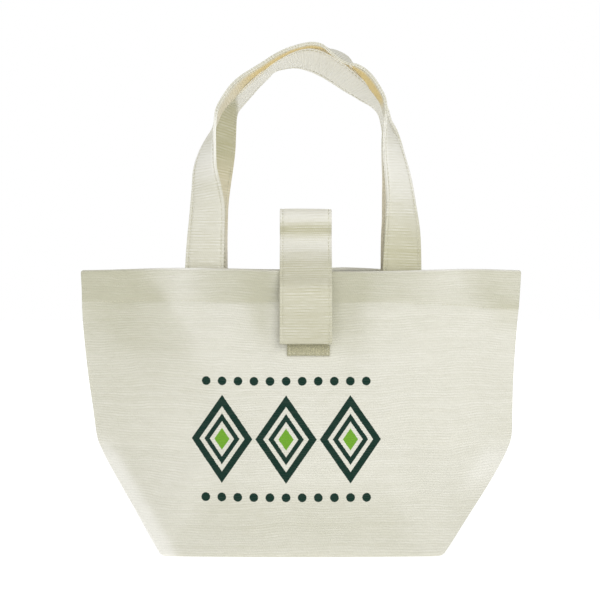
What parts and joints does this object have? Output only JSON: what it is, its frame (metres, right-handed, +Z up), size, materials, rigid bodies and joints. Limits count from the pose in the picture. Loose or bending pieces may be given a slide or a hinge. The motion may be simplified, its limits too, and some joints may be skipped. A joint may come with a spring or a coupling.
{
  "type": "cotton bag",
  "caption": "Small canvas tote with a boxed base, flat strap handles front and back, and a tab that comes over the mouth to close it; carries lunch or small goods.",
  "frame": {"origin": "middle of the base, on the surface that the bag stands on", "axes": "+Z up, +X to the right and -Y out of the front panel, where the tab closes"},
  "size_m": [0.31, 0.0998, 0.3548],
  "materials": {
    "canvas": "matt natural cotton canvas with slubby crosswise ribs",
    "strap": "matt natural cotton canvas, folded and stitched",
    "hooks": "off-white nylon hook tape",
    "loops": "off-white brushed loop tape"
  },
  "bodies": {
    "bag": {"front_panel": "canvas", "back_panel": "canvas", "front_handle_left_end": "strap", "front_handle_right_end": "strap", "back_handle_left_end": "strap", "back_handle_right_end": "strap", "tab_end": "strap", "loop_pad": "loops"},
    "front_handle": {"front_handle": "strap"},
    "back_handle": {"back_handle": "strap"},
    "tab_riser": {"tab_riser": "strap"},
    "tab_flap": {"tab_flap": "strap", "hook_pad": "hooks"}
  },
  "joints": [
    {"name": "front_handle_fold", "type": "hinge", "parent": "bag", "child": "front_handle", "pos_m": [0, -0.02247, 0.198], "axis": [1, 0, 0], "range_deg": [0, 160]},
    {"name": "back_handle_fold", "type": "hinge", "parent": "bag", "child": "back_handle", "pos_m": [0, 0.02247, 0.198], "axis": [-1, 0, 0], "range_deg": [0, 160]},
    {"name": "tab_lift", "type": "hinge", "parent": "bag", "child": "tab_riser", "pos_m": [0, 0.02649, 0.198], "axis": [-1, 0, 0], "range_deg": [0, 180]},
    {"name": "tab_open", "type": "hinge", "parent": "tab_riser", "child": "tab_flap", "pos_m": [0, -0.008, 0.236], "axis": [-1, 0, 0], "range_deg": [0, 120]}
  ]
}
